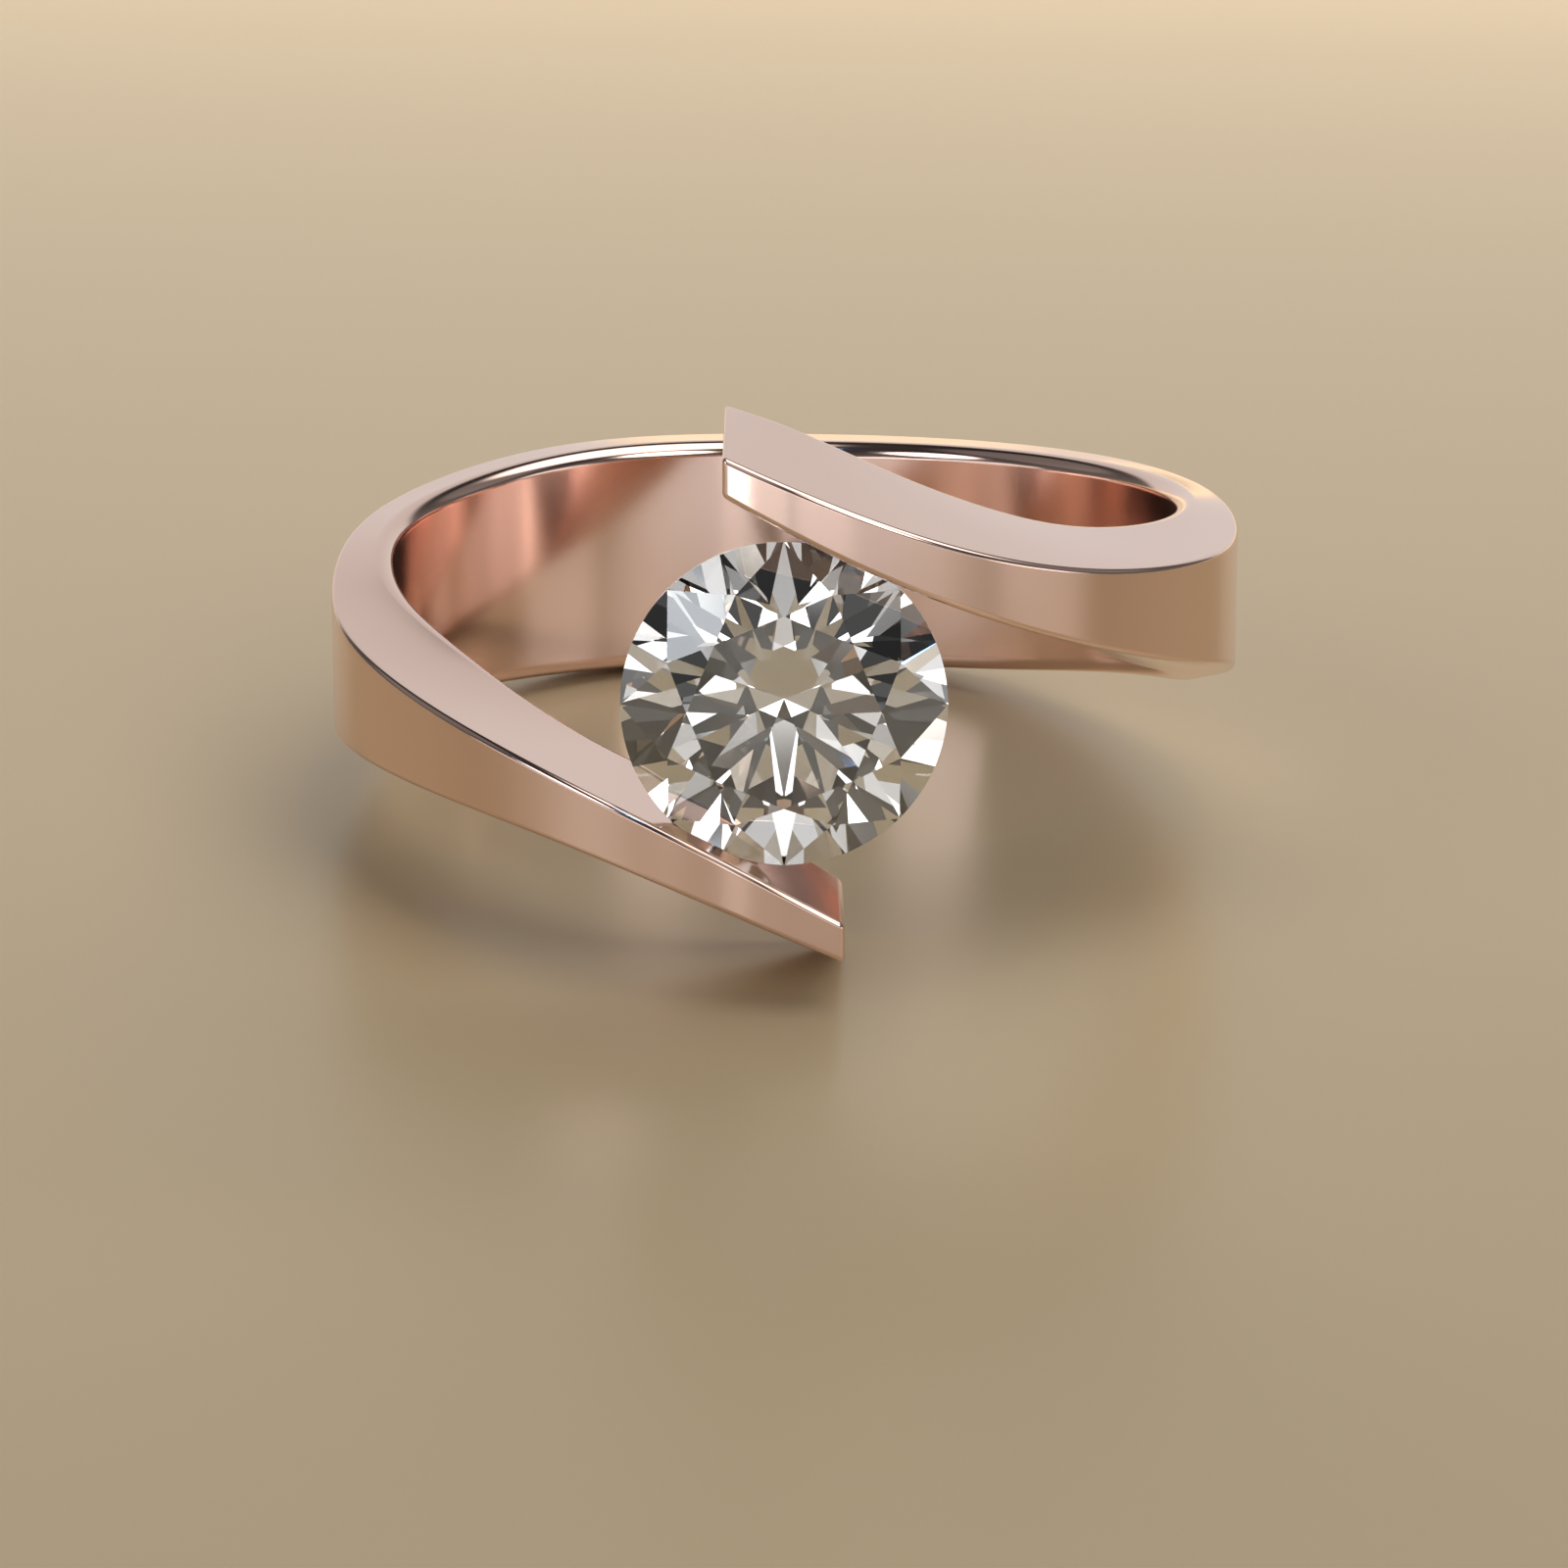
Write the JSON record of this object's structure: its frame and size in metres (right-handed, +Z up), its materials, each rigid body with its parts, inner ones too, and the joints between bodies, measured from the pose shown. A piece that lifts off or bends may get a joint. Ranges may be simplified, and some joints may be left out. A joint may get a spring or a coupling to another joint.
{
  "type": "tension set ring",
  "caption": "Tension set ring: a bypass band whose free ends pass above and below a round cut stone and grip its rim in fine grooves.",
  "frame": {"origin": "on the surface the ring lies on, under the middle of its bounding box", "axes": "+Z up from the surface the ring lies on, -Y towards the stone, +X to the right as the stone faces the viewer"},
  "size_m": [0.0198, 0.024, 0.011],
  "materials": {
    "rose_gold": "polished",
    "diamond": "polished facets"
  },
  "bodies": {
    "root": {"band": "rose_gold", "stone": "diamond"}
  },
  "joints": []
}
